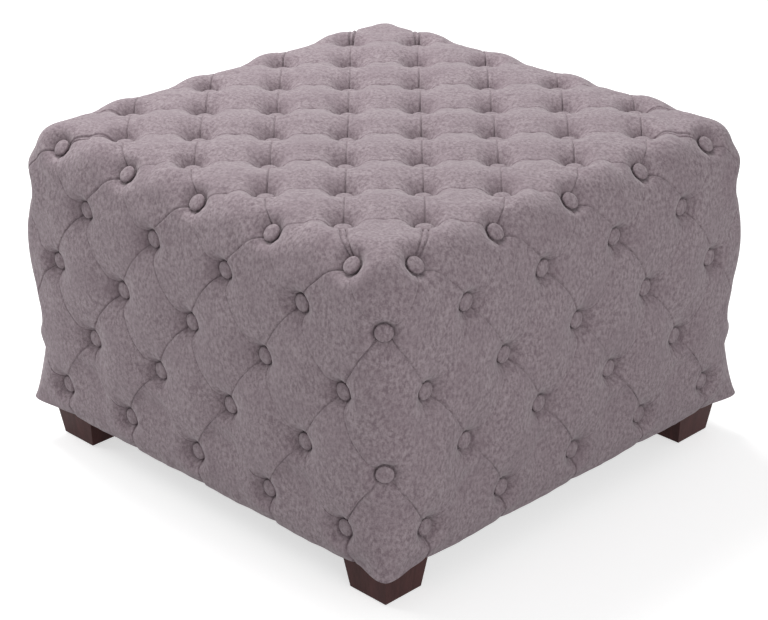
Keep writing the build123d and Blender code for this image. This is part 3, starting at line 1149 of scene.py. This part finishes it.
dust_colour = "#26262A"
dust_shade = "#131316"
dust_fibre = 0.0018
dust_roughness = 0.9
dust_thickness = 0.0004
dust_sag = 0.0035
dust_wave = 0.0007
dust_wave_length = 0.060
dust_cells = 52
staple_inset = 0.006
staple_pitch = 0.040
staple_length = 0.0115
staple_wire = 0.0012
staple_bevel = 0.0003
staple_bevel_steps = 2
staple_drop = staple_wire / 4

# Quite matt, with bonded fibres that show as a fine grain
dust, shader = grained(
    "spun_bonded_polypropylene",
    "ShaderNodeTexNoise",
    dust_shade,
    dust_colour,
    dust_fibre,
    dust_roughness,
)
dust_low, dust_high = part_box("dust_cloth")
foot_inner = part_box("back_right_foot")[0].x
staple_reach = dust_high.x - staple_inset


def dust_level(x, y):
    """Height of the dust cloth's upper face, which hangs free inside its row of staples."""
    free = max(0.0, 1 - (x / staple_reach) ** 2) * max(0.0, 1 - (y / staple_reach) ** 2)
    waves = noise.noise(Vector((x, y, 0)) / dust_wave_length) - 0.5
    return dust_low.z + dust_thickness - free * (dust_sag - dust_wave * waves)


bm = bmesh.new()
bmesh.ops.create_grid(bm, x_segments=dust_cells, y_segments=dust_cells, size=dust_high.x)
for v in bm.verts:
    v.co.z = dust_level(v.co.x, v.co.y)
    v.normal_update()
bmesh.ops.solidify(bm, geom=bm.faces[:], thickness=-dust_thickness)
bmesh.ops.recalc_face_normals(bm, faces=bm.faces)
for face in bm.faces:
    face.smooth = True
dust_sheet = new_piece("stretched_dust_cloth", bm, dust, "dust_cloth", "dust_cloth")

bm = bmesh.new()
per_side = int(2 * foot_inner / staple_pitch)
for quarter, number in product(range(4), range(per_side + 1)):
    along = (number / per_side - 0.5) * 2 * (foot_inner - staple_inset)
    made = bmesh.ops.create_cube(bm, size=1.0)["verts"]
    bmesh.ops.scale(bm, vec=(staple_length, staple_wire, staple_wire), verts=made)
    edges = list({edge for v in made for edge in v.link_edges})
    made = round_edges(bm, edges, staple_bevel, staple_bevel_steps)
    place = Matrix.Translation((along, staple_reach, dust_low.z - staple_drop))
    bmesh.ops.transform(bm, matrix=quarter_turn(quarter, 4) @ place, verts=made)
staples = new_piece("dust_cloth_staples", bm, zinc, "zinc_steel")

# Studio
# A plain white floor, a large soft lamp high up at the back left, weaker ones from the left and
# the right, and light from all around.

floor_colour = "#D6D6D6"
floor_size = 30.0
floor_glow = 0.62
around_level = 0.45
lamp_target = Vector((0, 0, 0.25))


def seen_directly(tree):
    """1 for what the camera, a mirror or clear glass sees, and 0 for the light on the object."""
    path = add_node(tree, "ShaderNodeLightPath", {})
    mirrored = add_node(
        tree,
        "ShaderNodeMath",
        {0: path.outputs["Is Camera Ray"], 1: path.outputs["Is Glossy Ray"]},
        operation="MAXIMUM",
    )
    shown = add_node(
        tree,
        "ShaderNodeMath",
        {0: mirrored.outputs["Value"], 1: path.outputs["Is Transmission Ray"]},
        operation="MAXIMUM",
    )
    return shown.outputs["Value"]


bm = bmesh.new()
bmesh.ops.create_grid(bm, x_segments=1, y_segments=1, size=floor_size / 2)
mesh = bpy.data.meshes.new("studio_floor")
bm.to_mesh(mesh)
bm.free()
floor = bpy.data.objects.new("studio_floor", mesh)
bpy.context.scene.collection.objects.link(floor)
paint, tree, shader = new_material("matt_white_floor")
shader.inputs["Base Color"].default_value = linear(floor_colour)
shader.inputs["Roughness"].default_value = 1.0
shader.inputs["Specular IOR Level"].default_value = 0.0
shader.inputs["Emission Color"].default_value = (1, 1, 1, 1)
glow = add_node(tree, "ShaderNodeMapRange", {"Value": seen_directly(tree), "To Max": floor_glow})
tree.links.new(glow.outputs["Result"], shader.inputs["Emission Strength"])
mesh.materials.append(paint)

world = bpy.data.worlds.new("studio")
world.use_nodes = True
bpy.context.scene.world = world
tree = world.node_tree
surroundings = tree.nodes["Background"]
surroundings.inputs["Color"].default_value = (1, 1, 1, 1)
strength = add_node(
    tree,
    "ShaderNodeMapRange",
    {"Value": seen_directly(tree), "To Min": around_level, "To Max": 1.0},
)
tree.links.new(strength.outputs["Result"], surroundings.inputs["Strength"])


def soft_lamp(name, way, distance, size, power):
    """A square lamp that faces the ottoman."""
    light = bpy.data.lights.new(name, "AREA")
    light.size = size
    light.energy = power
    lamp = bpy.data.objects.new(name, light)
    way = Vector(way).normalized()
    lamp.location = lamp_target + way * distance
    lamp.rotation_mode = "QUATERNION"
    lamp.rotation_quaternion = way.to_track_quat("Z", "Y")
    bpy.context.scene.collection.objects.link(lamp)


soft_lamp("back_lamp", way=(-0.55, 0.15, 1.0), distance=3.0, size=1.4, power=63.0)
soft_lamp("left_lamp", way=(-0.85, -0.55, 0.60), distance=3.0, size=1.2, power=22.0)
soft_lamp("right_lamp", way=(1.0, -0.25, 0.35), distance=3.2, size=2.0, power=22.0)

# Camera
# A long lens in front of the front right corner and well above the top, placed by the buttons
# and the hem that the photograph shows.

camera_place = Vector((1.8550, -1.8465, 1.4126))
camera_azimuth = math.radians(45.154)
camera_elevation = math.radians(25.123)
camera_roll = math.radians(-0.355)
camera_lens = 100.08

back = Vector((math.sin(camera_azimuth), -math.cos(camera_azimuth), 0)) * math.cos(camera_elevation)
back.z = math.sin(camera_elevation)
right = Vector((math.cos(camera_azimuth), math.sin(camera_azimuth), 0))
tilt = Matrix.Rotation(camera_roll, 3, back)
facing = Matrix((tilt @ right, tilt @ back.cross(right), back)).transposed()
camera = bpy.data.objects.new("camera", bpy.data.cameras.new("camera"))
camera.data.lens = camera_lens
camera.matrix_world = Matrix.Translation(camera_place) @ facing.to_4x4()
bpy.context.scene.collection.objects.link(camera)
bpy.context.scene.camera = camera

scene = bpy.context.scene
scene.view_settings.view_transform = "Standard"
